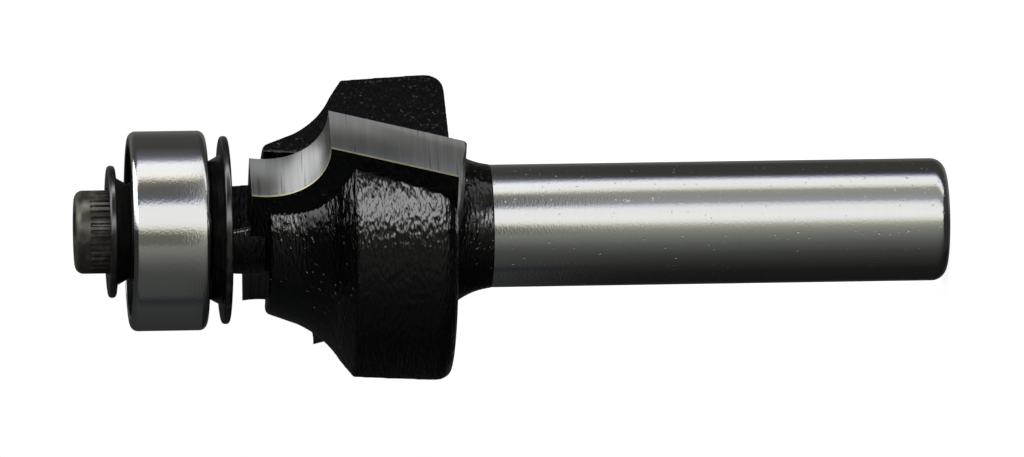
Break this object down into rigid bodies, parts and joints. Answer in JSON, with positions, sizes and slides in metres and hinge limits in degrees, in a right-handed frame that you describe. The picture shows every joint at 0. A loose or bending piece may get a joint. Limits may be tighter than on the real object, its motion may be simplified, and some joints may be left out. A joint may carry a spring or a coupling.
{
  "type": "router bit",
  "caption": "Corner-rounding router bit with brazed carbide tips, a ball-bearing guide on the nose and a plain cylindrical shank.",
  "frame": {"origin": "centre of the shank's end face", "axes": "+Z along the tool axis from the shank to the guide bearing; +X and +Y square to it, with the tips' cutting faces at about -41 and 139 degrees round from +X at the nose"},
  "size_m": [0.02, 0.0228, 0.0569],
  "materials": {
    "body_steel": "bright ground shank, gloss black enamel on the head",
    "carbide": "ground grey",
    "braze": "dull",
    "black_steel": "black oxide",
    "bearing_steel": "ground bright",
    "shield_steel": "pressed sheet, satin",
    "screw_steel": "black oxide, worn"
  },
  "bodies": {
    "cutter": {"cutter_body": "body_steel", "carbide_tip_1": "carbide", "carbide_tip_2": "carbide", "braze_layer_1": "braze", "braze_layer_2": "braze", "bearing_spacer": "black_steel", "bearing_inner_ring": "bearing_steel", "cup_washer": "black_steel", "cap_screw": "screw_steel"},
    "guide_rim": {"bearing_outer_ring": "bearing_steel", "bearing_shield_1": "shield_steel", "bearing_shield_2": "shield_steel"},
    "ball_cage": {"ball_1": "bearing_steel", "ball_2": "bearing_steel", "ball_3": "bearing_steel", "ball_4": "bearing_steel", "ball_5": "bearing_steel", "ball_6": "bearing_steel", "ball_7": "bearing_steel", "ball_cage": "shield_steel"}
  },
  "joints": [
    {"name": "guide_spin", "type": "hinge", "parent": "cutter", "child": "guide_rim", "pos_m": [0, 0, 0.05092], "axis": [0, 0, 1], "continuous": true},
    {"name": "cage_spin", "type": "hinge", "parent": "cutter", "child": "ball_cage", "pos_m": [0, 0, 0.05092], "axis": [0, 0, 1], "continuous": true}
  ],
  "couplings": [
    {"joint": "cage_spin", "follows": "guide_spin", "ratio": 0.64}
  ]
}
